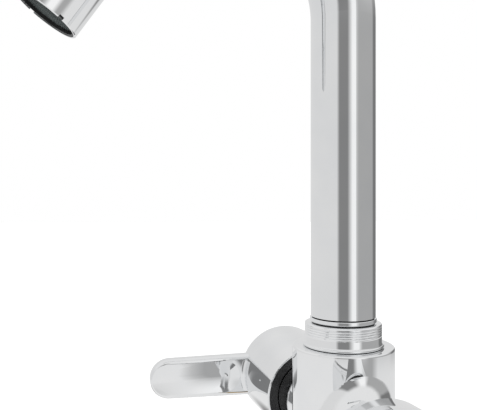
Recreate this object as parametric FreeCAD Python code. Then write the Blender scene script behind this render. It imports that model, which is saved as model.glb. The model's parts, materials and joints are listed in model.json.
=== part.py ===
import FreeCAD, Part
import math
import os

# Two-handle deck mixer with a rigid swivelling gooseneck spout, in millimetres.
# Origin: centre of the mixer on the deck surface.  +Z is up, the spout points to -Y,
# the hot valve is on the -X side and the cold valve on the +X side.

# ---------------------------------------------------------------- driving dimensions
TUBE_D = 28.0            # outside diameter of the spout tube
TUBE_WALL = 1.5
BEND_START = 141.0       # height of the bend's start above the body's top
BEND_RADIUS = 54.0       # centreline radius of the gooseneck
BEND_ANGLE = 145.0       # the gooseneck turns over until it falls 35 degrees from the vertical
TAIL_LENGTH = 45.0       # straight run from the bend to the outlet's rim

BODY_D = 44.0
BODY_TOP = 72.0
VALVE_Z = 37.7           # height of the two valves' common axis
ARM_D = 35.0             # side arms that carry the valves
ARM_END = 44.0           # distance of an arm's end face from the centre
ARM_FILLET = 9.0

BASE_D = 56.0            # chrome flange on the deck
BASE_HEIGHT = 6.0
SHANK_D = 30.0           # threaded shank through the deck
SHANK_BORE_D = 25.4
SHANK_BOTTOM = -52.0
SHANK_PITCH = 1.5
SHANK_LEAD = 1.2         # chamfer at the shank's foot
DECK_GAP = 8.0           # counter thickness that the lock nut is set for
GASKET_RADIUS = 25.0     # recess for the gasket under the base flange
GASKET_HEIGHT = 2.0
SPIGOT_RADIUS = 18.0     # body's foot inside the flange
WASHER_RADIUS = 24.0     # both washers under the deck
DECK_WASHER_HEIGHT = 3.0
BACKING_WASHER_HEIGHT = 1.5
NUT_FLATS = 40.0
NUT_HEIGHT = 9.0
NUT_CORNER = 20.5        # radius that the nut's corners are turned down to at its foot
INLET_X = 7.0            # offset of the two inlet threads
INLET_D = 10.0
INLET_LEDGE = 13.0       # height of the face that the inlet threads open in

COLLAR_D = 33.2          # threaded collar on top of the body
COLLAR_HEIGHT = 9.95
COLLAR_PITCH = 1.0
COLLAR_FLARE = 0.9       # how far its foot spreads on the body
COLLAR_LAND = 4.4        # plain stretch below its thread
COLLAR_SOCKET = 15.0     # radius of its socket in the body
BUSH_RADIUS = 12.0       # glide bush in the collar
BUSH_BRIM = 13.6
BUSH_BRIM_HEIGHT = 0.5
BUSH_FOOT = 5.0          # its foot above the body's top
SPOUT_RING_D = 28.8      # flange of the spout's tail, under the tube
SPOUT_RING_TOP = 12.25   # top of that flange above the body's top
TUBE_GAP = 0.5           # narrow groove between that flange and the tube's foot
TAIL_D = 20.0            # turned tail that swivels in the collar
TAIL_BORE = 7.5          # radius of its waterway
TAIL_DEPTH = 17.0        # how far it reaches below the body's top
TAIL_PLUG = 12.0         # how far it reaches up inside the tube

HUB_INNER = 39.0         # handle hub: distance of its open end from the centre
HUB_OUTER = 91.0         # and of its closed end
HUB_INNER_D = 46.5
HUB_OUTER_D = 50.6
SKIRT_BORE_D = 44.6
LEVER_REACH = 77.2       # valve axis to the lever's tip
LEVER_ROOT_WIDTH = 23.0
LEVER_TIP_WIDTH = 21.2
LEVER_THICKNESS = 8.0
LEVER_EDGE = 2.3         # rounding of the lever's edges
LEVER_DISH = 0.46        # depth of the thumb dish in the lever's inner face
DISH_RADIUS = 80.0       # curve of that dish across the lever
LEVER_ROOT_FILLET = 2.5  # blend where the lever leaves the hub
LEVER_SETBACK = 2.0      # lever's outer face behind the hub's closed end

NOZZLE_LENGTH = 26.0     # aerator shell
NOZZLE_WALL = 0.9
KEY_SLOT_TURN = 55.0     # turn of the two key slots about the outlet's axis
KEY_SLOT_WIDTH = 2.1
KEY_SLOT_DEPTH = 1.2
MESH_LOW = NOZZLE_LENGTH - 2.8
MESH_THICKNESS = 1.0
INSERT_LIP = 0.9         # wall of the cartridge round the mesh
INSERT_LOW = 10.6        # cartridge's inner end, on its washer
NOZZLE_THREAD = 11.95    # radius of the bush's male thread
SHELL_THREAD = 12.0      # and of the shell's bore over it

# Valves, measured outwards along their axis from the centre.
SEAT = 12.5              # valve seat in the body
SEAT_BORE_START = 2.4
SEAT_BORE_RADIUS = 5.0
RISER_RADIUS = 4.0       # waterway from an inlet thread up to its valve
PORT_RADIUS = 3.0        # waterway from a valve up to the mixing chamber
PORT_X = 14.0
DISC_LOW = 15.0          # fixed ceramic disc
DISC_THICKNESS = 3.0
DISC_RADIUS = 7.4
DISC_CHAMBER = 7.5       # radius inside the headwork, round the discs
DISC_CHAMBER_END = 26.0
BARREL_RADIUS = 9.2
WINDOW_LOW = 21.5        # side windows that the water leaves the valve by
WINDOW_HEIGHT = 4.5
WINDOW_WIDTH = 8.0
HEAD_THREAD = 10.45      # radius of the headwork's thread
HEAD_THREAD_LOW = 34.0
HEAD_SEAT = ARM_END + 0.8    # underside of the headwork's hexagon, on its washer
HEXAGON_HEIGHT = 4.7
HEXAGON_FLATS = 22.0
GUIDE_RADIUS = 6.5       # headwork's nose round the spindle
GUIDE_END = 58.0
SPINDLE_RADIUS = 4.0
SPLINE_END = 68.0
SPINDLE_SEAL_OFFSETS = (7.0, 10.0)    # O-rings beyond the arm's end
SOCKET_RADIUS = 7.5      # boss inside the hub, over the spline
CAVITY_RADIUS = 20.0
CAVITY_END = 77.0        # the hub is hollow to here
SCREW_SEAT = 73.0
SCREW_LENGTH = 14.0
SCREW_RADIUS = 2.0
SCREW_HEAD_RADIUS = 3.8
SCREW_HEAD_HEIGHT = 2.6
CAP_RADIUS = 8.1
CAP_DEPTH = 3.0
RING_LOW = HUB_INNER + 1.2
RING_HEIGHT = 3.2

# Swivel, measured down from the body's top.
COLLAR_THREAD = 12.0
CHAMBER_RADIUS = 13.5    # mixing chamber under the collar
CHAMBER_BOTTOM = 51.5
SEAL_HEIGHTS = (BODY_TOP - 2.5, BODY_TOP - 7.5)
SEAL_MEAN_RADIUS = 8.97
SEAL_CORD = 1.9
CLIP_LOW = BODY_TOP - 13.3
CLIP_HEIGHT = 1.1
CLIP_INNER = 9.25
CLIP_OUTER = 12.2

# ---------------------------------------------------------------- shared fits and details
FIT = 0.05               # radial clearance of a running fit
LOOSE = 0.3              # clearance between parts that only pass each other
THREAD_GAP = 0.05        # radial gap that stands for a mating thread's play
BRAZE_GAP = 0.02         # radial gap that the braze fills
CENTRE = FreeCAD.Vector(0, 0, 0)
X_AXIS = FreeCAD.Vector(1, 0, 0)
Y_AXIS = FreeCAD.Vector(0, 1, 0)
Z_AXIS = FreeCAD.Vector(0, 0, 1)


# ---------------------------------------------------------------- shape helpers
def rod(radius, bottom, top, x=0.0, y=0.0):
    """Upright cylinder between two heights."""
    return Part.makeCylinder(radius, top - bottom, FreeCAD.Vector(x, y, bottom), Z_AXIS)


def ring(outer, inner, bottom, top):
    """Upright ring between two heights."""
    return rod(outer, bottom, top).cut(rod(inner, bottom - 1, top + 1))


def turned(profile):
    """Solid of revolution about Z from a closed outline of (radius, height) points."""
    points = [FreeCAD.Vector(radius, 0, height) for radius, height in profile]
    outline = Part.makePolygon(points + points[:1])
    return Part.Face(outline).revolve(CENTRE, Z_AXIS, 360)


def torus(radius, thickness, height):
    """O-ring: mean radius, cord thickness and height of its middle plane."""
    return Part.makeTorus(radius, thickness / 2, FreeCAD.Vector(0, 0, height), Z_AXIS)


def hexagon(across_flats, bottom, top):
    """Hexagonal prism between two heights."""
    corner = across_flats / 2 / math.cos(math.pi / 6)
    points = []
    for index in range(7):
        angle = math.radians(60 * index + 30)
        points.append(FreeCAD.Vector(corner * math.cos(angle), corner * math.sin(angle), bottom))
    return Part.Face(Part.makePolygon(points)).extrude(Z_AXIS * (top - bottom))


def toothed(radius, depth, teeth, bottom, top):
    """Splined shaft end: a prism whose outline steps between crest and root."""
    points = []
    for index in range(2 * teeth + 1):
        angle = math.pi * index / teeth
        reach = radius - depth * (index % 2)
        points.append(FreeCAD.Vector(reach * math.cos(angle), reach * math.sin(angle), bottom))
    return Part.Face(Part.makePolygon(points)).extrude(Z_AXIS * (top - bottom))


def thread_outline(radius, pitch, bottom, top):
    """Outline points up a threaded rod's side, as annular V-grooves."""
    depth = 0.55 * pitch
    count = int((top - bottom) / pitch)
    points = [(radius, bottom)]
    for index in range(count):
        start = bottom + index * pitch
        points.append((radius, start + 0.2 * pitch))
        points.append((radius - depth, start + 0.55 * pitch))
        points.append((radius, start + 0.9 * pitch))
    points.append((radius, top))
    return points


def circle_edges(shape, radius, height):
    """Edges that are circles of this radius about a point at this height."""
    found = []
    for edge in shape.Edges:
        if isinstance(edge.Curve, Part.Circle):
            same_radius = abs(edge.Curve.Radius - radius) < 0.01
            if same_radius and abs(edge.Curve.Center.z - height) < 0.01:
                found.append(edge)
    return found


def to_side(shape, side):
    """Lay a valve piece, modelled up +Z, along +X (side 1) or -X (side -1)."""
    placed = shape.copy()
    placed.rotate(CENTRE, Y_AXIS, 90 * side)
    placed.translate(FreeCAD.Vector(0, 0, VALVE_Z))
    return placed


def spout_end():
    """Centre of the tube's bend end and the direction of its straight tail."""
    turn = math.radians(BEND_ANGLE)
    forward = BEND_RADIUS * (1 - math.cos(turn))
    height = BODY_TOP + BEND_START + BEND_RADIUS * math.sin(turn)
    direction = FreeCAD.Vector(0, -math.sin(turn), math.cos(turn))
    return FreeCAD.Vector(0, -forward, height), direction


def to_nozzle(shape):
    """Move a piece modelled up +Z from the tube's end onto the spout's outlet axis."""
    start, direction = spout_end()
    placed = shape.copy()
    placed.rotate(CENTRE, X_AXIS, BEND_ANGLE)
    placed.translate(start + direction * (TAIL_LENGTH - NOZZLE_LENGTH))
    return placed


# ---------------------------------------------------------------- mixer body
def body():
    """Casting: round column with two side arms, and its drilled waterways."""
    column = rod(BODY_D / 2, BASE_HEIGHT, BODY_TOP)
    column = column.makeFillet(0.8, circle_edges(column, BODY_D / 2, BODY_TOP))
    arms = Part.makeCylinder(ARM_D / 2, 2 * ARM_END, FreeCAD.Vector(-ARM_END, 0, VALVE_Z), X_AXIS)
    # The two cylinders' seam lines are turned away from each other and from the join.
    column.rotate(CENTRE, Z_AXIS, 90)
    arms.rotate(FreeCAD.Vector(0, 0, VALVE_Z), X_AXIS, 45)
    casting = column.fuse(arms)
    joins = [edge for edge in casting.Edges if not isinstance(edge.Curve, (Part.Circle, Part.Line))]
    casting = casting.makeFillet(ARM_FILLET, joins)
    casting = casting.fuse(rod(SPIGOT_RADIUS, GASKET_HEIGHT / 2, BASE_HEIGHT + 1))

    holes = [
        rod(COLLAR_SOCKET, BODY_TOP - COLLAR_THREAD - 1, BODY_TOP + 1),
        rod(CHAMBER_RADIUS, CHAMBER_BOTTOM, BODY_TOP),
        rod(SHANK_D / 2 + THREAD_GAP, 0, INLET_LEDGE),
    ]
    for side in (-1, 1):
        holes.append(rod(INLET_D / 2, INLET_LEDGE - 1, INLET_LEDGE + 8, side * INLET_X))
        holes.append(rod(RISER_RADIUS, INLET_LEDGE, VALVE_Z, side * INLET_X))
        holes.append(to_side(rod(SEAT_BORE_RADIUS, SEAT_BORE_START, SEAT + 1), side))
        holes.append(to_side(rod(HEAD_THREAD + THREAD_GAP, SEAT, ARM_END + 1), side))
        holes.append(rod(PORT_RADIUS, VALVE_Z + 7, CHAMBER_BOTTOM + 1, side * PORT_X))
    for hole in holes:
        casting = casting.cut(hole)
    return casting


def base_flange():
    """Chrome flange between body and deck, recessed below for its gasket."""
    outer = BASE_D / 2
    bore = SPIGOT_RADIUS + 0.2
    side_top = 2.5
    bevel = 3.5
    flange = turned([(bore, GASKET_HEIGHT), (GASKET_RADIUS, GASKET_HEIGHT), (GASKET_RADIUS, 0), (outer, 0),
                     (outer, side_top), (outer - bevel, BASE_HEIGHT), (bore, BASE_HEIGHT)])
    return flange.makeFillet(0.8, circle_edges(flange, outer, side_top))


def shank():
    """Hollow threaded shank that screws up into the body and passes the deck."""
    radius = SHANK_D / 2
    outline = [(SHANK_BORE_D / 2, SHANK_BOTTOM + 1), (radius - SHANK_LEAD, SHANK_BOTTOM)]
    outline += thread_outline(radius, SHANK_PITCH, SHANK_BOTTOM + SHANK_LEAD, -1)
    outline += [(radius, INLET_LEDGE - LOOSE), (SHANK_BORE_D / 2, INLET_LEDGE - LOOSE)]
    return turned(outline)


def lock_nut():
    """Hexagonal brass nut under the deck."""
    top = -DECK_GAP - DECK_WASHER_HEIGHT - BACKING_WASHER_HEIGHT
    bottom = top - NUT_HEIGHT
    nut = hexagon(NUT_FLATS, bottom, top)
    cone = turned([(0, bottom), (NUT_CORNER, bottom), (WASHER_RADIUS, bottom + 2), (WASHER_RADIUS, top),
                   (0, top)])
    return nut.common(cone).cut(rod(SHANK_D / 2 + THREAD_GAP, bottom - 1, top + 1))


# ---------------------------------------------------------------- spout
def spout_collar():
    """Threaded collar screwed into the body's top; the spout's tail turns in it."""
    base = BODY_TOP
    top = BODY_TOP + COLLAR_HEIGHT
    radius = COLLAR_D / 2
    foot = radius + COLLAR_FLARE
    low = base - COLLAR_THREAD
    male = COLLAR_SOCKET - THREAD_GAP
    bore = TAIL_D / 2 + FIT
    seat = BUSH_RADIUS + FIT
    outline = [(bore, low), (male, low), (male, base), (foot, base), (foot, base + COLLAR_FLARE),
               (radius, base + 2.2)]
    outline += thread_outline(radius, COLLAR_PITCH, base + COLLAR_LAND, top - 0.5)
    outline += [(radius - 0.5, top), (seat, top), (seat, base + BUSH_FOOT), (bore, base + BUSH_FOOT)]
    return turned(outline)


def spout_glide_bush():
    """Top-hat plastic bush that the spout's flange turns on."""
    inner = TAIL_D / 2 + FIT
    low = BODY_TOP + BUSH_FOOT
    top = BODY_TOP + COLLAR_HEIGHT
    brim_top = top + BUSH_BRIM_HEIGHT
    return turned([(inner, low), (BUSH_RADIUS, low), (BUSH_RADIUS, top), (BUSH_BRIM, top),
                   (BUSH_BRIM, brim_top), (inner, brim_top)])


def spout_tail():
    """Turned brass tail brazed into the tube's foot, with grooves for seals and clip."""
    bottom = BODY_TOP - TAIL_DEPTH
    radius = TAIL_D / 2
    chamfer = 0.5
    ring_radius = SPOUT_RING_D / 2
    ring_low = BODY_TOP + COLLAR_HEIGHT + BUSH_BRIM_HEIGHT + FIT
    ring_top = BODY_TOP + SPOUT_RING_TOP
    plug = TUBE_D / 2 - TUBE_WALL - BRAZE_GAP
    plug_top = ring_top + TAIL_PLUG
    funnel = 3.0
    tail = turned([(TAIL_BORE, bottom), (radius - chamfer, bottom), (radius, bottom + chamfer),
                   (radius, ring_low), (ring_radius, ring_low), (ring_radius, ring_top),
                   (plug, ring_top), (plug, plug_top), (TAIL_BORE + funnel, plug_top),
                   (TAIL_BORE, plug_top - funnel)])
    groove_root = SEAL_MEAN_RADIUS - SEAL_CORD / 2 - 0.02
    half_groove = SEAL_CORD / 2 + 0.2
    for height in SEAL_HEIGHTS:
        tail = tail.cut(ring(radius + 1, groove_root, height - half_groove, height + half_groove))
    tail = tail.cut(ring(radius + 1, CLIP_INNER - FIT, CLIP_LOW, CLIP_LOW + CLIP_HEIGHT + 2 * FIT))
    edges = circle_edges(tail, ring_radius, ring_low)
    edges += circle_edges(tail, ring_radius, ring_top)
    return tail.makeFillet(0.4, edges)


def spout_seals():
    """Two O-rings in the tail's grooves."""
    return Part.makeCompound([torus(SEAL_MEAN_RADIUS, SEAL_CORD, height) for height in SEAL_HEIGHTS])


def spout_clip():
    """Open retaining ring in the tail's groove, under the collar."""
    low = CLIP_LOW + FIT
    gap = 3.0
    clip = ring(CLIP_OUTER, CLIP_INNER, low, low + CLIP_HEIGHT)
    corner = FreeCAD.Vector(-gap / 2, -CLIP_OUTER - 1, low - 1)
    return clip.cut(Part.makeBox(gap, CLIP_OUTER + 1, CLIP_HEIGHT + 2, corner))


def tube_path():
    """Centreline of the tube from its foot to the nozzle's joint."""
    foot = FreeCAD.Vector(0, 0, BODY_TOP + SPOUT_RING_TOP + TUBE_GAP)
    bend = FreeCAD.Vector(0, 0, BODY_TOP + BEND_START)
    half = math.radians(BEND_ANGLE / 2)
    middle = FreeCAD.Vector(0, -BEND_RADIUS * (1 - math.cos(half)), bend.z + BEND_RADIUS * math.sin(half))
    end, direction = spout_end()
    joint = end + direction * (TAIL_LENGTH - NOZZLE_LENGTH)
    runs = [Part.LineSegment(foot, bend), Part.Arc(bend, middle, end), Part.LineSegment(end, joint)]
    return Part.Wire([run.toShape() for run in runs])


def swept(radius):
    """Round bar of this radius along the tube's centreline."""
    start = FreeCAD.Vector(0, 0, BODY_TOP + SPOUT_RING_TOP + TUBE_GAP)
    section = Part.Wire(Part.makeCircle(radius, start, Z_AXIS))
    return tube_path().makePipeShell([section], True, False)


def spout_tube():
    """Gooseneck tube."""
    return swept(TUBE_D / 2).cut(swept(TUBE_D / 2 - TUBE_WALL))


# ---------------------------------------------------------------- nozzle and aerator
def nozzle_bush():
    """Brass bush brazed into the tube's end, with the aerator shell's male thread."""
    plug = TUBE_D / 2 - TUBE_WALL - BRAZE_GAP
    bore = 10.0
    depth = 10.0
    relief = 11.3
    end = 9.0
    outline = [(bore, -depth), (plug, -depth), (plug, 0.0), (relief, 0.0), (relief, 1.0)]
    outline += thread_outline(NOZZLE_THREAD, 1.0, 1.2, end - 0.2)
    outline += [(NOZZLE_THREAD - 0.45, end), (bore, end)]
    return to_nozzle(turned(outline))


def aerator_shell():
    """Chrome sleeve at the outlet, with two key slots across its thin rim."""
    radius = TUBE_D / 2
    bore = radius - NOZZLE_WALL
    low = 0.15
    edge = 0.3
    shelf = INSERT_LOW - 0.1
    shell = turned([(SHELL_THREAD, low), (radius - edge, low), (radius, low + edge),
                    (radius, NOZZLE_LENGTH - edge), (radius - edge, NOZZLE_LENGTH),
                    (bore, NOZZLE_LENGTH), (bore, shelf), (SHELL_THREAD, shelf)])
    corner = FreeCAD.Vector(-KEY_SLOT_WIDTH / 2, -TUBE_D, NOZZLE_LENGTH - KEY_SLOT_DEPTH)
    slot = Part.makeBox(KEY_SLOT_WIDTH, 2 * TUBE_D, KEY_SLOT_DEPTH + 1, corner)
    slot.rotate(CENTRE, Z_AXIS, KEY_SLOT_TURN)
    return to_nozzle(shell.cut(slot))


def aerator_insert():
    """Plastic flow cartridge: a cup with a lattice floor behind the outlet's mesh."""
    outer = TUBE_D / 2 - NOZZLE_WALL - FIT
    lip_top = NOZZLE_LENGTH - 0.5
    lip = outer - INSERT_LIP
    hole = 2.6
    circle = 7.0
    cup = turned([(0, INSERT_LOW), (outer, INSERT_LOW), (outer, lip_top), (lip, lip_top), (lip, MESH_LOW),
                  (0, MESH_LOW)])
    for step in range(6):
        angle = math.radians(60 * step)
        x = circle * math.cos(angle)
        y = circle * math.sin(angle)
        cup = cup.cut(rod(hole, INSERT_LOW - 1, MESH_LOW + 1, x, y))
    return to_nozzle(cup.cut(rod(hole, INSERT_LOW - 1, MESH_LOW + 1)))


def aerator_mesh():
    """Perforated disc over the cartridge's mouth."""
    outer = TUBE_D / 2 - NOZZLE_WALL - INSERT_LIP - 2 * FIT
    disc = rod(outer, MESH_LOW, MESH_LOW + MESH_THICKNESS)
    hole_pitch = 3.4
    hole = 1.1
    holes = []
    for row in range(-3, 4):
        for column in range(-3, 4):
            x = hole_pitch * (column + 0.5 * (row % 2))
            y = hole_pitch * row * math.sin(math.radians(60))
            if math.hypot(x, y) < outer - 2:
                holes.append(rod(hole, MESH_LOW - 1, MESH_LOW + 2, x, y))
    return to_nozzle(disc.cut(Part.makeCompound(holes)))


def aerator_washer():
    """Rubber washer between the bush and the cartridge."""
    return to_nozzle(ring(SHELL_THREAD - 0.2, 9.0, 9.0 + FIT, INSERT_LOW - FIT))


# ---------------------------------------------------------------- valve cartridges
def headwork():
    """Brass cartridge housing: windowed barrel, thread, hexagon and spindle guide."""
    bore = SPINDLE_RADIUS + FIT
    barrel = turned([(DISC_CHAMBER, SEAT + 2), (BARREL_RADIUS, SEAT + 2), (BARREL_RADIUS, HEAD_THREAD_LOW),
                     (HEAD_THREAD, HEAD_THREAD_LOW), (HEAD_THREAD, HEAD_SEAT),
                     (GUIDE_RADIUS, HEAD_SEAT), (GUIDE_RADIUS, GUIDE_END),
                     (bore, GUIDE_END), (bore, DISC_CHAMBER_END), (DISC_CHAMBER, DISC_CHAMBER_END)])
    housing = barrel.fuse(hexagon(HEXAGON_FLATS, HEAD_SEAT, HEAD_SEAT + HEXAGON_HEIGHT))
    housing = housing.cut(rod(bore, ARM_END, GUIDE_END + 1))
    reach = BARREL_RADIUS + 2.8
    corner = FreeCAD.Vector(-reach, -WINDOW_WIDTH / 2, WINDOW_LOW)
    window = Part.makeBox(2 * reach, WINDOW_WIDTH, WINDOW_HEIGHT, corner)
    return housing.cut(window).removeSplitter()


def fixed_disc():
    """Lower ceramic disc with its two ports."""
    port_radius = 1.9
    port_offset = 3.6
    disc = rod(DISC_RADIUS, DISC_LOW, DISC_LOW + DISC_THICKNESS)
    for side in (-1, 1):
        port = rod(port_radius, DISC_LOW - 1, DISC_LOW + DISC_THICKNESS + 1, 0, side * port_offset)
        disc = disc.cut(port)
    return disc


def moving_disc():
    """Upper ceramic disc: two opposite quarters are cut away."""
    low = DISC_LOW + DISC_THICKNESS + 0.02
    rib = 1.0
    size = 8.0
    disc = rod(DISC_RADIUS - 0.1, low, low + DISC_THICKNESS)
    for corner in (rib, -rib - size):
        place = FreeCAD.Vector(corner, corner, low - 1)
        disc = disc.cut(Part.makeBox(size, size, DISC_THICKNESS + 2, place))
    return disc


def spindle():
    """Brass spindle: drive foot, shaft, clip groove and splined end tapped for a screw."""
    foot_low = DISC_LOW + 2 * DISC_THICKNESS + 0.07
    foot_height = 3.2
    clip_groove = ring(SPINDLE_RADIUS + 1, 3.3, GUIDE_END + 0.3, GUIDE_END + 1.4)
    shaft = rod(DISC_RADIUS - 0.2, foot_low, foot_low + foot_height)
    shaft = shaft.fuse(rod(SPINDLE_RADIUS, foot_low + foot_height - 0.2, GUIDE_END + 2))
    shaft = shaft.fuse(toothed(SPINDLE_RADIUS, 0.35, 20, GUIDE_END + 2, SPLINE_END))
    for offset in SPINDLE_SEAL_OFFSETS:
        height = ARM_END + offset
        shaft = shaft.cut(ring(SPINDLE_RADIUS + 1, 3.0, height - 0.8, height + 0.8))
    tapping = rod(SCREW_RADIUS + THREAD_GAP, SCREW_SEAT - SCREW_LENGTH - 2, SPLINE_END + 1)
    return shaft.cut(clip_groove).cut(tapping).removeSplitter()


def spindle_seals():
    """Two small O-rings on the spindle."""
    rings = [torus(3.47, 0.9, ARM_END + offset) for offset in SPINDLE_SEAL_OFFSETS]
    return Part.makeCompound(rings)


def spindle_clip():
    """Open clip that keeps the spindle in its guide."""
    low = GUIDE_END + 0.35
    clip = ring(5.8, 3.35, low, low + 0.95)
    return clip.cut(Part.makeBox(10, 3, 3, FreeCAD.Vector(0, -1.5, low - 1)))


# ---------------------------------------------------------------- lever handles
def lever_blade():
    """Paddle from the hub to a full round tip; the dish on its inner face runs out at the tip."""
    top = HUB_OUTER - LEVER_SETBACK
    low = top - LEVER_THICKNESS
    tip_radius = LEVER_TIP_WIDTH / 2
    tip_y = -(LEVER_REACH - tip_radius)
    root = LEVER_ROOT_WIDTH / 2
    corners = [FreeCAD.Vector(-root, 0, low), FreeCAD.Vector(-tip_radius, tip_y, low),
               FreeCAD.Vector(tip_radius, tip_y, low), FreeCAD.Vector(root, 0, low)]
    crown = FreeCAD.Vector(0, -LEVER_REACH, low)
    outline = Part.Wire([
        Part.LineSegment(corners[0], corners[1]).toShape(),
        Part.Arc(corners[1], crown, corners[2]).toShape(),
        Part.LineSegment(corners[2], corners[3]).toShape(),
        Part.LineSegment(corners[3], corners[0]).toShape(),
    ])
    blade = Part.Face(outline).extrude(Z_AXIS * LEVER_THICKNESS)
    rims = []
    for edge in blade.Edges:
        flat = abs(edge.BoundBox.ZMax - edge.BoundBox.ZMin) < 0.01
        if flat and edge.BoundBox.YMin < -0.01:
            rims.append(edge)
    blade = blade.makeFillet(LEVER_EDGE, rims)

    dish_centre = low - DISH_RADIUS + LEVER_DISH
    near = -HUB_OUTER_D / 2 - 11
    far = -LEVER_REACH - 1
    dish = Part.makeCylinder(DISH_RADIUS, near - far, FreeCAD.Vector(0, far, dish_centre), Y_AXIS)
    dish = dish.fuse(Part.makeSphere(DISH_RADIUS, FreeCAD.Vector(0, near, dish_centre)))
    return blade.cut(dish)


def root_blend():
    """Concave blend between the hub's side and the lever's inner face."""
    face = HUB_OUTER - LEVER_SETBACK - LEVER_THICKNESS
    start = face - LEVER_ROOT_FILLET
    taper = (HUB_OUTER_D - HUB_INNER_D) / 2 / (HUB_OUTER - HUB_INNER)
    side = HUB_INNER_D / 2 + taper * (start - HUB_INNER)
    reach = side + LEVER_ROOT_FILLET
    deep = side - 1.5
    slant = LEVER_ROOT_FILLET * math.sqrt(0.5)
    arc = Part.Arc(FreeCAD.Vector(side, 0, start), FreeCAD.Vector(reach - slant, 0, start + slant),
                   FreeCAD.Vector(reach, 0, face))
    corners = [(reach, face), (reach, face + 0.5), (deep, face + 0.5), (deep, start), (side, start)]
    points = [FreeCAD.Vector(radius, 0, height) for radius, height in corners]
    outline = Part.Wire([arc.toShape()] + Part.makePolygon(points).Edges)
    blend = Part.Face(outline).revolve(CENTRE, Z_AXIS, 360)
    half = LEVER_TIP_WIDTH / 2 - LEVER_EDGE
    return blend.common(Part.makeBox(2 * half, 20, 10, FreeCAD.Vector(-half, -40, start - 1)))


def handle():
    """Hollow hub with its lever, socket for the spindle and recess for the cap."""
    outer = turned([(0, HUB_INNER), (HUB_INNER_D / 2, HUB_INNER),
                    (HUB_OUTER_D / 2, HUB_OUTER), (0, HUB_OUTER)])
    outer = outer.makeFillet(3.0, circle_edges(outer, HUB_OUTER_D / 2, HUB_OUTER))
    outer = outer.makeFillet(0.5, circle_edges(outer, HUB_INNER_D / 2, HUB_INNER))
    solid = outer.fuse(lever_blade())
    solid = solid.fuse(root_blend())
    skirt_end = RING_LOW + RING_HEIGHT + 6
    cavity = turned([(0, HUB_INNER - 1), (SKIRT_BORE_D / 2, HUB_INNER - 1),
                     (SKIRT_BORE_D / 2, skirt_end), (CAVITY_RADIUS, skirt_end + 3),
                     (CAVITY_RADIUS, CAVITY_END), (0, CAVITY_END)])
    socket = rod(SOCKET_RADIUS, GUIDE_END + 2, CAVITY_END + 1)
    solid = solid.cut(cavity.cut(socket))
    solid = solid.cut(rod(SPINDLE_RADIUS + 0.02, GUIDE_END, SPLINE_END + 0.5))
    solid = solid.cut(rod(SCREW_RADIUS + 0.2, SPLINE_END, SCREW_SEAT + 1))
    solid = solid.cut(rod(SCREW_HEAD_RADIUS + 0.5, SCREW_SEAT, HUB_OUTER + 1))
    return solid.cut(rod(CAP_RADIUS, HUB_OUTER - CAP_DEPTH, HUB_OUTER + 1))


def skirt_ring():
    """Black plastic ring in the hub's open end, running round the body's arm."""
    return ring(SKIRT_BORE_D / 2 - 0.05, ARM_D / 2 + LOOSE, RING_LOW, RING_LOW + RING_HEIGHT)


def handle_screw():
    """Pan-head screw that holds the handle on its spindle."""
    top = SCREW_SEAT + SCREW_HEAD_HEIGHT
    head = rod(SCREW_HEAD_RADIUS, SCREW_SEAT, top)
    head = head.makeFillet(0.8, circle_edges(head, SCREW_HEAD_RADIUS, top))
    screw = head.fuse(rod(SCREW_RADIUS, SCREW_SEAT - SCREW_LENGTH, SCREW_SEAT + 1))
    cross_length = 4.4
    cross_width = 0.9
    cross_depth = 1.3
    for turn in (0, 90):
        corner = FreeCAD.Vector(-cross_length / 2, -cross_width / 2, top - cross_depth)
        slot = Part.makeBox(cross_length, cross_width, cross_depth + 1, corner)
        slot.rotate(CENTRE, Z_AXIS, turn)
        screw = screw.cut(slot)
    return screw.removeSplitter()


def index_cap():
    """Coloured cap pressed into the hub's closed end."""
    radius = CAP_RADIUS - FIT
    top = HUB_OUTER + 0.6
    cap = rod(radius, HUB_OUTER - CAP_DEPTH + FIT, top)
    return cap.makeFillet(0.6, circle_edges(cap, radius, top))


def seat_seal():
    """Rubber seat between the body and the fixed disc."""
    return ring(DISC_RADIUS, SEAT_BORE_RADIUS - 0.4, SEAT, DISC_LOW)


def headwork_washer():
    """Fibre washer under the headwork's hexagon."""
    return ring(HEXAGON_FLATS * 0.6, HEAD_THREAD + 0.1, ARM_END, HEAD_SEAT)


# ---------------------------------------------------------------- all nodes
VALVE_PIECES = {
    "seat_seal": seat_seal,
    "fixed_disc": fixed_disc,
    "moving_disc": moving_disc,
    "headwork": headwork,
    "headwork_washer": headwork_washer,
    "spindle": spindle,
    "spindle_seals": spindle_seals,
    "spindle_clip": spindle_clip,
    "lever_handle": handle,
    "skirt_ring": skirt_ring,
    "handle_screw": handle_screw,
    "index_cap": index_cap,
}


def all_nodes():
    """Every sub-part of the mixer by name."""
    under_deck = -DECK_GAP
    under_washer = under_deck - DECK_WASHER_HEIGHT
    nut_top = under_washer - BACKING_WASHER_HEIGHT
    bore = SHANK_D / 2 + LOOSE
    gasket_bore = SPIGOT_RADIUS + LOOSE
    nodes = {
        "body": body(),
        "base_flange": base_flange(),
        "base_gasket": ring(GASKET_RADIUS - 0.1, gasket_bore, 0, GASKET_HEIGHT - FIT),
        "shank": shank(),
        "deck_washer": ring(WASHER_RADIUS, bore, under_washer, under_deck),
        "backing_washer": ring(WASHER_RADIUS, bore, nut_top, under_washer),
        "lock_nut": lock_nut(),
        "spout_collar": spout_collar(),
        "spout_glide_bush": spout_glide_bush(),
        "spout_tail": spout_tail(),
        "spout_seals": spout_seals(),
        "spout_clip": spout_clip(),
        "spout_tube": spout_tube(),
        "nozzle_bush": nozzle_bush(),
        "aerator_shell": aerator_shell(),
        "aerator_insert": aerator_insert(),
        "aerator_mesh": aerator_mesh(),
        "aerator_washer": aerator_washer(),
    }
    for label, side in (("hot", -1), ("cold", 1)):
        for name, make in VALVE_PIECES.items():
            nodes[label + "_" + name] = to_side(make(), side)
    return nodes


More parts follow.
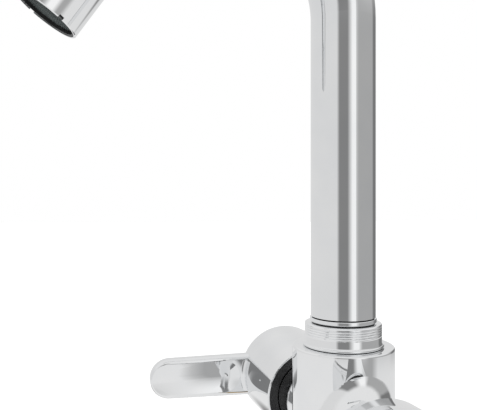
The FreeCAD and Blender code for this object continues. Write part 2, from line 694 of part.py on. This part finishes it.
os.makedirs("parts", exist_ok=True)
for node_name, node_shape in all_nodes().items():
    node_shape.exportStep("parts/" + node_name + ".step")
    print(node_name, len(node_shape.Solids), "solid(s)", node_shape.isValid(),
          round(node_shape.Volume / 1000, 2), "cm3")
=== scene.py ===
import bpy
import bmesh
import json
import math
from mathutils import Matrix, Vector


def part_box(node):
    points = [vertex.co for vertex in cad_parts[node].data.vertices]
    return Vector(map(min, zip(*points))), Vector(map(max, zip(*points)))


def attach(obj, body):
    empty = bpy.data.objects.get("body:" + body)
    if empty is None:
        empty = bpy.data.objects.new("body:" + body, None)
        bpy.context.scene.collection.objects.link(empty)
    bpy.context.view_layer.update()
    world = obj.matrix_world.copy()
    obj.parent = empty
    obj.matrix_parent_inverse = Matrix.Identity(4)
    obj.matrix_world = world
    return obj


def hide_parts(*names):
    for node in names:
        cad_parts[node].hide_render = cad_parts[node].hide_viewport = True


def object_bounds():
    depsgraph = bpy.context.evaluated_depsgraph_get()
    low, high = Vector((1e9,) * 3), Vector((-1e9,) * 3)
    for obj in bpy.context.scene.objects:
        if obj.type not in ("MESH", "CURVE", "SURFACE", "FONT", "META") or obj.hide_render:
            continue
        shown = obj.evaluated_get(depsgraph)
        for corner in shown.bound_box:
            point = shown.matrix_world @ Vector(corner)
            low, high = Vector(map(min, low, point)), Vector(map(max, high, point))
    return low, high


# Two-handle deck mixer with a rigid swivelling gooseneck, in metres, in the CAD frame.
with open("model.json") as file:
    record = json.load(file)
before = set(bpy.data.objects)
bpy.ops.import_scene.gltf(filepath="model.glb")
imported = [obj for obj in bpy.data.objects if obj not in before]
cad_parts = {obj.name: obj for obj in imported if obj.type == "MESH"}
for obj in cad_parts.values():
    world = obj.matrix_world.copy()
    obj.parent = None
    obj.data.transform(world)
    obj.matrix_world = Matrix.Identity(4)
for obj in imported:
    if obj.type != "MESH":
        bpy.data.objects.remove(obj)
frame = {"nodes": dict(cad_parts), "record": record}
cad_low, cad_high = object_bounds()
nodes = frame["nodes"]
record = frame["record"]

# ---------------------------------------------------------------- view and studio sizes
LENS = 45.3
CAMERA_TURN = 12.6              # degrees from the +X axis towards the spout's side
CAMERA_DISTANCE = 0.2613
CAMERA_ASIDE = 0.0455
CAMERA_RISE = 0.06075           # above the body's top
FLOOR_DROP = 0.0006             # below the lowest point of the shank
ENV_STRENGTH = 1.0

OUTLET_ANGLE = 145.0            # turn of the outlet's axis from upright
WIRE_PITCH = 0.00095            # woven gauze over the outlet
WIRE_RADIUS = 0.00019
WIRE_STEPS = 4                  # samples along a wire between crossings
WIRE_SIDES = 6
WIRE_INSET = 2.2                # wire radii from the disc's outer face to the gauze's middle

COLLAR_RADIUS = 0.0166
COLLAR_BORE = 0.01005           # runs round the spout's tail
COLLAR_SHANK = 0.01495          # screwed into the body
COLLAR_PITCH = 0.001
COLLAR_THREAD_DEPTH = 0.00032
COLLAR_LAND = 0.0044            # plain stretch between its foot and its thread
FOOT_ROUNDING = 0.0006          # bead round the collar's foot
FOOT_STEPS = 6
FOOT_GAP = 0.0001               # between the body's top and the bead
FLARE = 0.0001                  # the plain stretch narrows by this, between two heights
FLARE_LOW = 0.0016
FLARE_HIGH = 0.0022
LIP = 0.0005                    # width of the collar's softened top edge
LIP_SIDE = 0.0002
LIP_DROP = 0.00015
BUSH_BORE = 0.01205
SHANK_BORE = 0.0127
SHANK_PITCH = 0.0015
SHANK_THREAD_DEPTH = 0.0008
SHANK_LEAD = 0.0012             # chamfer at the shank's end
SHANK_BORE_LEAD = 0.001
SHANK_THREAD_STOP = 0.001       # below the deck face

TURN_STEPS = 192                # facets round a threaded piece
PITCH_STEPS = 12                # rows along one turn of thread
VEE_HALF_WIDTH = 0.36           # of the pitch
RUN_IN = 1.2                    # turns over which a thread starts, and ends
RUN_OUT = 0.8

GROOVE_BELOW = 0.00052          # reach of the groove's painted shade, from the tube's foot
GROOVE_ABOVE = 0.0001
GROOVE_DEPTH = 0.0005
GROOVE_ROUGHNESS = 0.7
POLISH = 0.03

NOISE_LOW = 0.3                 # the part of a noise's range that is used
NOISE_HIGH = 0.7
TONE_LOW = 0.35
TONE_HIGH = 0.65
METAL_TONE = 45.0               # noise scales and grain depths
METAL_POLISH = 90.0
METAL_GRAIN_DEPTH = 0.00002
MOULDED_TONE = 120.0
MOULDED_POLISH = 300.0
MOULDED_GRAIN_DEPTH = 0.00004

FLOOR_HALF = 6.0
FLOOR_TONE = 3.0
FLOOR_ROUGHNESS = 0.7
FLOOR_GLOW = 0.42

# Studio panels: first and last bearing in degrees from the camera's own bearing, positive to
# its right, and brightness.  Each one fades into the next across the gap between them.
LEFT_WALL = (-170, -31, 0.76)
CAMERA_OPENING = (-22, 6, 0.25)
WINDOW = (23, 36, 1.00)
RIGHT_WALL = (48, 112, 0.42)
BACK_CORNER = (121, 146, 0.20)
BACK_WALL = (156, 175, 0.76)
WALLS = (LEFT_WALL, CAMERA_OPENING, WINDOW, RIGHT_WALL, BACK_CORNER, BACK_WALL)
# The same round the foot of the walls, below the camera's opening.
PALE_FOOT = (-170, 20.9, 0.84)
SHADED_FOOT = (21.2, 56, 0.42)
RIGHT_FOOT = (72, 170, 0.80)
SKIRTING = (PALE_FOOT, SHADED_FOOT, RIGHT_FOOT)
# And the plinth under that, dark at the back.
BACK_PLINTH_LEFT = (-178, -138, 0.14)
FRONT_PLINTH = (-116, 116, 0.84)
BACK_PLINTH_RIGHT = (138, 178, 0.14)
PLINTH = (BACK_PLINTH_LEFT, FRONT_PLINTH, BACK_PLINTH_RIGHT)
SKIRTING_TOP = -0.18            # sine of the elevation where the walls start to change
SKIRTING_LOW = -0.27
PLINTH_TOP = -0.39              # and the skirting into the plinth
PLINTH_LOW = -0.45
CEILING_LOW = 0.26              # and where they turn into the ceiling
CEILING_HIGH = 0.58
CEILING = 0.84
GROUND_HIGH = -0.55
GROUND_LOW = -0.85
GROUND = 0.84


# ---------------------------------------------------------------- material helpers
class Shader:
    """Small builder for one procedural material."""

    def __init__(self, name):
        self.material = bpy.data.materials.new(name)
        self.material.use_nodes = True
        self.tree = self.material.node_tree
        self.bsdf = self.tree.nodes["Principled BSDF"]
        self.place = self.tree.nodes.new("ShaderNodeTexCoord").outputs["Object"]

    def node(self, kind, **inputs):
        made = self.tree.nodes.new(kind)
        for key, value in inputs.items():
            made.inputs[key.replace("_", " ")].default_value = value
        return made

    def link(self, source, target):
        self.tree.links.new(source, target)

    def maths(self, operation, first, second):
        made = self.tree.nodes.new("ShaderNodeMath")
        made.operation = operation
        self.link(first, made.inputs[0])
        if isinstance(second, float):
            made.inputs[1].default_value = second
        else:
            self.link(second, made.inputs[1])
        return made.outputs["Value"]

    def noise(self, scale, detail=3.0, stretch=(1.0, 1.0, 1.0)):
        mapping = self.tree.nodes.new("ShaderNodeMapping")
        mapping.inputs["Scale"].default_value = stretch
        self.link(self.place, mapping.inputs["Vector"])
        made = self.node("ShaderNodeTexNoise", Scale=scale, Detail=detail)
        self.link(mapping.outputs["Vector"], made.inputs["Vector"])
        return made.outputs["Fac"]

    def spread(self, source, low, high):
        made = self.tree.nodes.new("ShaderNodeMapRange")
        made.inputs["From Min"].default_value = NOISE_LOW
        made.inputs["From Max"].default_value = NOISE_HIGH
        made.inputs["To Min"].default_value = low
        made.inputs["To Max"].default_value = high
        self.link(source, made.inputs["Value"])
        return made.outputs["Result"]

    def two_tone(self, source, first, second):
        ramp = self.tree.nodes.new("ShaderNodeValToRGB")
        ramp.color_ramp.elements[0].position = TONE_LOW
        ramp.color_ramp.elements[0].color = (*first, 1)
        ramp.color_ramp.elements[1].position = TONE_HIGH
        ramp.color_ramp.elements[1].color = (*second, 1)
        self.link(source, ramp.inputs["Fac"])
        self.link(ramp.outputs["Color"], self.bsdf.inputs["Base Color"])

    def bump(self, source, strength, distance):
        made = self.node("ShaderNodeBump", Strength=strength, Distance=distance)
        self.link(source, made.inputs["Height"])
        self.link(made.outputs["Normal"], self.bsdf.inputs["Normal"])


def metal(name, first, second, rough_low, rough_high, grain, bump, stretch=(1.0, 1.0, 1.0)):
    """Metal with a slight tone change, uneven polish and fine surface grain."""
    shader = Shader(name)
    shader.bsdf.inputs["Metallic"].default_value = 1.0
    shader.two_tone(shader.noise(METAL_TONE), first, second)
    shader.link(shader.spread(shader.noise(METAL_POLISH, 5.0), rough_low, rough_high),
                shader.bsdf.inputs["Roughness"])
    shader.bump(shader.noise(grain, 4.0, stretch), bump, METAL_GRAIN_DEPTH)
    return shader.material


def moulded(name, first, second, rough_low, rough_high, grain, bump, coat=0.0):
    """Plastic, rubber or ceramic with a faint mottle and a fine moulded grain."""
    shader = Shader(name)
    shader.bsdf.inputs["Coat Weight"].default_value = coat
    shader.two_tone(shader.noise(MOULDED_TONE), first, second)
    shader.link(shader.spread(shader.noise(MOULDED_POLISH), rough_low, rough_high),
                shader.bsdf.inputs["Roughness"])
    shader.bump(shader.noise(grain, 2.0), bump, MOULDED_GRAIN_DEPTH)
    return shader.material


materials = {
    "chrome": metal("chrome", (0.84, 0.85, 0.86), (0.88, 0.885, 0.89), 0.012, 0.045, 900.0, 0.02),
    "brass": metal("brass", (0.62, 0.44, 0.19), (0.74, 0.55, 0.26), 0.20, 0.36, 2200.0, 0.25,
                   (1.0, 1.0, 6.0)),
    "steel": metal("steel", (0.50, 0.51, 0.52), (0.62, 0.63, 0.64), 0.24, 0.38, 2600.0, 0.22),
    "black_plastic": moulded("black_plastic", (0.012, 0.012, 0.013), (0.020, 0.020, 0.021),
                             0.32, 0.48, 3200.0, 0.25),
    "mesh": moulded("mesh", (0.050, 0.062, 0.063), (0.085, 0.102, 0.102), 0.42, 0.60, 1500.0, 0.12),
    "rubber": moulded("rubber", (0.020, 0.020, 0.021), (0.036, 0.035, 0.034),
                      0.60, 0.80, 2400.0, 0.5),
    "ceramic": moulded("ceramic", (0.86, 0.85, 0.81), (0.91, 0.90, 0.87), 0.08, 0.16, 2600.0,
                       0.05, 0.4),
    "fibre": moulded("fibre", (0.36, 0.09, 0.06), (0.50, 0.14, 0.10), 0.55, 0.75, 1800.0, 0.6),
    "hot_index": moulded("hot_index", (0.55, 0.02, 0.02), (0.64, 0.03, 0.03), 0.10, 0.18,
                         2600.0, 0.06, 0.6),
    "cold_index": moulded("cold_index", (0.02, 0.10, 0.44), (0.03, 0.13, 0.52), 0.10, 0.18,
                          2600.0, 0.06, 0.6),
}


def painted_groove_shade(low, high, radius):
    """Chrome whose narrow groove between two heights, inside a radius, is dull and painted dark as shade
    in the gap.
    """
    shader = Shader("chrome_with_painted_groove_shade")
    shader.bsdf.inputs["Metallic"].default_value = 1.0
    split = shader.node("ShaderNodeSeparateXYZ")
    shader.link(shader.place, split.inputs["Vector"])
    flat = shader.node("ShaderNodeVectorMath")
    flat.operation = "MULTIPLY"
    flat.inputs[1].default_value = (1.0, 1.0, 0.0)
    shader.link(shader.place, flat.inputs[0])
    length = shader.node("ShaderNodeVectorMath")
    length.operation = "LENGTH"
    shader.link(flat.outputs["Vector"], length.inputs[0])
    above = shader.maths("GREATER_THAN", split.outputs["Z"], low)
    below = shader.maths("LESS_THAN", split.outputs["Z"], high)
    within = shader.maths("LESS_THAN", length.outputs["Value"], radius)
    inside = shader.maths("MULTIPLY", shader.maths("MULTIPLY", above, below), within)
    # painted shade: the base colour turns near black inside the groove, where shade falls in the gap
    # between the tube's foot and the tail
    mix = shader.node("ShaderNodeMixRGB")
    mix.inputs["Color1"].default_value = (0.86, 0.87, 0.88, 1)
    mix.inputs["Color2"].default_value = (0.03, 0.03, 0.03, 1)
    shader.link(inside, mix.inputs["Fac"])
    shader.link(mix.outputs["Color"], shader.bsdf.inputs["Base Color"])
    rough = shader.node("ShaderNodeMapRange")
    rough.inputs["To Min"].default_value = POLISH
    rough.inputs["To Max"].default_value = GROOVE_ROUGHNESS
    shader.link(inside, rough.inputs["Value"])
    shader.link(rough.outputs["Result"], shader.bsdf.inputs["Roughness"])
    return shader.material


for part in record["subparts"]:
    mesh = nodes[part["node"]].data
    mesh.materials.clear()
    mesh.materials.append(materials[part["material_slot"]])

tube_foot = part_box("spout_tube")[0][2]
tube_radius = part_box("spout_tube")[1][0]
tail_mesh = nodes["spout_tail"].data
tail_mesh.materials.clear()
# painted shade: a dark band on the tail's groove at the tube's foot
groove_low = tube_foot - GROOVE_BELOW
groove_high = tube_foot + GROOVE_ABOVE
tail_mesh.materials.append(painted_groove_shade(groove_low, groove_high, tube_radius - GROOVE_DEPTH))


# ---------------------------------------------------------------- detailed pieces
def add_mesh(name, vertices, faces, material, body, replaced, smooth_angle=35):
    """New object from plain vertices and faces, riding on a body in place of a CAD node."""
    mesh = bpy.data.meshes.new(name)
    mesh.from_pydata(vertices, [], faces)
    mesh.materials.append(materials[material])
    made = bpy.data.objects.new(name, mesh)
    bpy.context.scene.collection.objects.link(made)
    shaped = bmesh.new()
    shaped.from_mesh(mesh)
    bmesh.ops.recalc_face_normals(shaped, faces=shaped.faces)
    shaped.to_mesh(mesh)
    shaped.free()
    mesh.shade_smooth()
    mesh.set_sharp_from_angle(angle=math.radians(smooth_angle))
    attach(made, body)
    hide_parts(replaced)
    return made


def helical(outline, thread_low, thread_high, pitch, depth):
    """Round body from a closed (radius, height) outline whose threaded stretch is a helix."""
    vertices = []
    faces = []
    steps = int((thread_high - thread_low) / pitch * PITCH_STEPS)
    rows = []
    for index, (radius, height, threaded) in enumerate(outline):
        rows.append((radius, height, False))
        if threaded:
            end_height = outline[index + 1][1]
            for step in range(1, steps):
                rows.append((radius, height + (end_height - height) * step / steps, True))
    for turn in range(TURN_STEPS):
        angle = 2 * math.pi * turn / TURN_STEPS
        for radius, height, cut in rows:
            reach = radius
            if cut:
                phase = (height / pitch - turn / TURN_STEPS) % 1.0
                vee = max(0.0, 1.0 - abs(phase - 0.5) / VEE_HALF_WIDTH)
                fade = min(1.0, (height - thread_low) / (RUN_IN * pitch),
                           (thread_high - height) / (RUN_OUT * pitch))
                reach = radius - depth * vee * max(0.0, fade)
            vertices.append((reach * math.cos(angle), reach * math.sin(angle), height))
    count = len(rows)
    for turn in range(TURN_STEPS):
        here = turn * count
        there = (turn + 1) % TURN_STEPS * count
        for row in range(count):
            above = (row + 1) % count
            faces.append((here + row, there + row, there + above, here + above))
    return vertices, faces


def spout_collar():
    """Collar on the body: smooth land below, fine real helix above, rounded foot and lip."""
    low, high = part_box("spout_collar")
    bush_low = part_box("spout_glide_bush")[0][2]
    body_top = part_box("body")[1][2]
    outer = COLLAR_RADIUS
    foot = high[0]
    top = high[2]
    bore = COLLAR_BORE
    outline = [(bore, low[2], False), (COLLAR_SHANK, low[2], False), (COLLAR_SHANK, body_top, False)]
    bead = body_top + FOOT_GAP + FOOT_ROUNDING
    for step in range(FOOT_STEPS + 1):
        bend = math.pi * (step / FOOT_STEPS - 0.5)
        outline.append((foot - FOOT_ROUNDING + FOOT_ROUNDING * math.cos(bend),
                        bead + FOOT_ROUNDING * math.sin(bend), False))
    thread_low = body_top + COLLAR_LAND
    thread_high = top - LIP
    outline += [(outer + FLARE, body_top + FLARE_LOW, False), (outer, body_top + FLARE_HIGH, False),
                (outer, thread_low, True), (outer, thread_high, False),
                (outer - LIP_SIDE, top - LIP_DROP, False), (outer - LIP, top, False),
                (BUSH_BORE, top, False), (BUSH_BORE, bush_low, False), (bore, bush_low, False)]
    vertices, faces = helical(outline, thread_low, thread_high, COLLAR_PITCH, COLLAR_THREAD_DEPTH)
    return add_mesh("collar_threaded", vertices, faces, "chrome", "mixer", "spout_collar")


def shank():
    """Hollow shank with a real helix up to the deck."""
    low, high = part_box("shank")
    outer = high[0]
    thread_low = low[2] + SHANK_LEAD
    thread_high = -SHANK_THREAD_STOP
    outline = [(SHANK_BORE, low[2] + SHANK_BORE_LEAD, False), (outer - SHANK_LEAD, low[2], False),
               (outer, thread_low, True), (outer, thread_high, False), (outer, high[2], False),
               (SHANK_BORE, high[2], False)]
    vertices, faces = helical(outline, thread_low, thread_high, SHANK_PITCH, SHANK_THREAD_DEPTH)
    return add_mesh("shank_threaded", vertices, faces, "brass", "mixer", "shank")


def gauze():
    """Woven wire gauze across the outlet: two sets of wires that pass over and under."""
    disc = nodes["aerator_mesh"]
    points = [disc.matrix_world @ vertex.co for vertex in disc.data.vertices]
    centre = sum(points, Vector()) / len(points)
    turn = math.radians(OUTLET_ANGLE)
    axis = Vector((0.0, -math.sin(turn), math.cos(turn)))
    across = Vector((1.0, 0.0, 0.0))
    along = axis.cross(across)
    depths = [(point - centre).dot(axis) for point in points]
    outer_face = centre + axis * (max(depths) - WIRE_INSET * WIRE_RADIUS)
    radii = [(point - centre - axis * (point - centre).dot(axis)).length for point in points]
    reach = max(radii) - WIRE_RADIUS
    vertices = []
    faces = []
    count = int(reach / WIRE_PITCH)
    for weave, (run, step) in enumerate(((across, along), (along, across))):
        for wire in range(-count, count + 1):
            offset = wire * WIRE_PITCH
            half = math.sqrt(max(0.0, reach * reach - offset * offset))
            if half < 2 * WIRE_PITCH:
                continue
            samples = int(2 * half / WIRE_PITCH * WIRE_STEPS) + 1
            first = len(vertices)
            for sample in range(samples):
                place = -half + 2 * half * sample / (samples - 1)
                wave = math.cos(math.pi * (place / WIRE_PITCH + wire + weave))
                middle = outer_face + run * place + step * offset + axis * (wave * WIRE_RADIUS)
                for side in range(WIRE_SIDES):
                    angle = 2 * math.pi * side / WIRE_SIDES
                    skin = step * math.cos(angle) + axis * math.sin(angle)
                    vertices.append(middle + skin * WIRE_RADIUS)
            for sample in range(samples - 1):
                ring = first + sample * WIRE_SIDES
                for side in range(WIRE_SIDES):
                    beside = (side + 1) % WIRE_SIDES
                    faces.append((ring + side, ring + beside, ring + WIRE_SIDES + beside,
                                  ring + WIRE_SIDES + side))
            last = first + (samples - 1) * WIRE_SIDES
            faces.append(tuple(first + side for side in range(WIRE_SIDES)))
            faces.append(tuple(last + side for side in reversed(range(WIRE_SIDES))))
    return add_mesh("outlet_gauze", vertices, faces, "mesh", "spout", "aerator_mesh", 80)


spout_collar()
shank()
gauze()


# ---------------------------------------------------------------- studio
def camera_directions():
    """Level directions towards the camera and to its right."""
    turn = math.radians(CAMERA_TURN)
    toward = Vector((math.cos(turn), -math.sin(turn), 0.0))
    right = Vector((math.sin(turn), math.cos(turn), 0.0))
    return toward, right


def studio_world():
    """Plain panels all round, over a skirting and a plinth. The camera itself sees plain white."""
    world = bpy.data.worlds.new("studio")
    world.use_nodes = True
    bpy.context.scene.world = world
    tree = world.node_tree
    tree.nodes.clear()
    link = tree.links.new
    toward, right = camera_directions()
    ray = tree.nodes.new("ShaderNodeTexCoord").outputs["Generated"]

    def along(direction):
        dot = tree.nodes.new("ShaderNodeVectorMath")
        dot.operation = "DOT_PRODUCT"
        link(ray, dot.inputs[0])
        dot.inputs[1].default_value = direction
        return dot.outputs["Value"]

    bearing = tree.nodes.new("ShaderNodeMath")
    bearing.operation = "ARCTAN2"
    link(along(right), bearing.inputs[0])
    link(along(toward), bearing.inputs[1])
    part_turn = tree.nodes.new("ShaderNodeMapRange")
    part_turn.inputs["From Min"].default_value = -math.pi
    part_turn.inputs["From Max"].default_value = math.pi
    link(bearing.outputs["Value"], part_turn.inputs["Value"])

    def painted(panels):
        ramp = tree.nodes.new("ShaderNodeValToRGB")
        stops = ramp.color_ramp.elements
        seam = panels[0][2]
        ends = [(-180, seam)]
        for first, last, bright in panels:
            ends += [(first, bright), (last, bright)]
        ends.append((180, seam))
        stops.remove(stops[-1])
        for index, (angle, bright) in enumerate(ends):
            place = (angle + 180) / 360
            stop = stops[0] if index == 0 else stops.new(place)
            stop.position = place
            stop.color = (bright, bright, bright, 1)
        link(part_turn.outputs["Result"], ramp.inputs["Fac"])
        return ramp.outputs["Color"]

    def ease(value, start, end):
        step = tree.nodes.new("ShaderNodeMapRange")
        step.interpolation_type = "SMOOTHSTEP"
        step.inputs["From Min"].default_value = start
        step.inputs["From Max"].default_value = end
        link(value, step.inputs["Value"])
        return step.outputs["Result"]

    def blended(amount, first, second):
        mix = tree.nodes.new("ShaderNodeMixRGB")
        link(amount, mix.inputs["Fac"])
        link(first, mix.inputs["Color1"])
        if isinstance(second, float):
            mix.inputs["Color2"].default_value = (second, second, second, 1)
        else:
            link(second, mix.inputs["Color2"])
        return mix.outputs["Color"]

    height = along((0.0, 0.0, 1.0))
    colour = blended(ease(height, SKIRTING_TOP, SKIRTING_LOW), painted(WALLS), painted(SKIRTING))
    colour = blended(ease(height, PLINTH_TOP, PLINTH_LOW), colour, painted(PLINTH))
    colour = blended(ease(height, CEILING_LOW, CEILING_HIGH), colour, CEILING)
    colour = blended(ease(height, GROUND_HIGH, GROUND_LOW), colour, GROUND)

    room = tree.nodes.new("ShaderNodeBackground")
    room.inputs["Strength"].default_value = ENV_STRENGTH
    link(colour, room.inputs["Color"])
    paper = tree.nodes.new("ShaderNodeBackground")
    paper.inputs["Color"].default_value = (1, 1, 1, 1)
    seen = tree.nodes.new("ShaderNodeLightPath").outputs["Is Camera Ray"]
    pick = tree.nodes.new("ShaderNodeMixShader")
    link(seen, pick.inputs["Fac"])
    link(room.outputs["Background"], pick.inputs[1])
    link(paper.outputs["Background"], pick.inputs[2])
    link(pick.outputs["Shader"], tree.nodes.new("ShaderNodeOutputWorld").inputs["Surface"])


def floor():
    """Large white sheet just under the shank, left out of the chrome's reflections."""
    height = cad_low.z - FLOOR_DROP
    mesh = bpy.data.meshes.new("floor")
    half = FLOOR_HALF
    corners = [(-half, -half, height), (half, -half, height), (half, half, height), (-half, half, height)]
    mesh.from_pydata(corners, [], [(0, 1, 2, 3)])
    sheet = bpy.data.objects.new("floor", mesh)
    bpy.context.scene.collection.objects.link(sheet)
    shader = Shader("floor_white")
    shader.two_tone(shader.noise(FLOOR_TONE), (0.90, 0.90, 0.90), (0.92, 0.92, 0.92))
    shader.bsdf.inputs["Roughness"].default_value = FLOOR_ROUGHNESS
    shader.bsdf.inputs["Emission Color"].default_value = (1, 1, 1, 1)
    shader.bsdf.inputs["Emission Strength"].default_value = FLOOR_GLOW
    mesh.materials.append(shader.material)
    sheet.visible_glossy = False


def camera():
    """Level camera beside the spout, on the cold valve's side."""
    toward, right = camera_directions()
    body_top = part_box("body")[1][2]
    data = bpy.data.cameras.new("camera")
    data.lens = LENS
    data.clip_start = 0.005
    data.clip_end = 50.0
    made = bpy.data.objects.new("camera", data)
    bpy.context.scene.collection.objects.link(made)
    made.location = (toward * CAMERA_DISTANCE - right * CAMERA_ASIDE
                     + Vector((0, 0, body_top + CAMERA_RISE)))
    made.rotation_mode = "QUATERNION"
    made.rotation_quaternion = (-toward).to_track_quat("-Z", "Y")
    bpy.context.scene.camera = made


bpy.context.scene.view_settings.view_transform = "Standard"
studio_world()
floor()
camera()
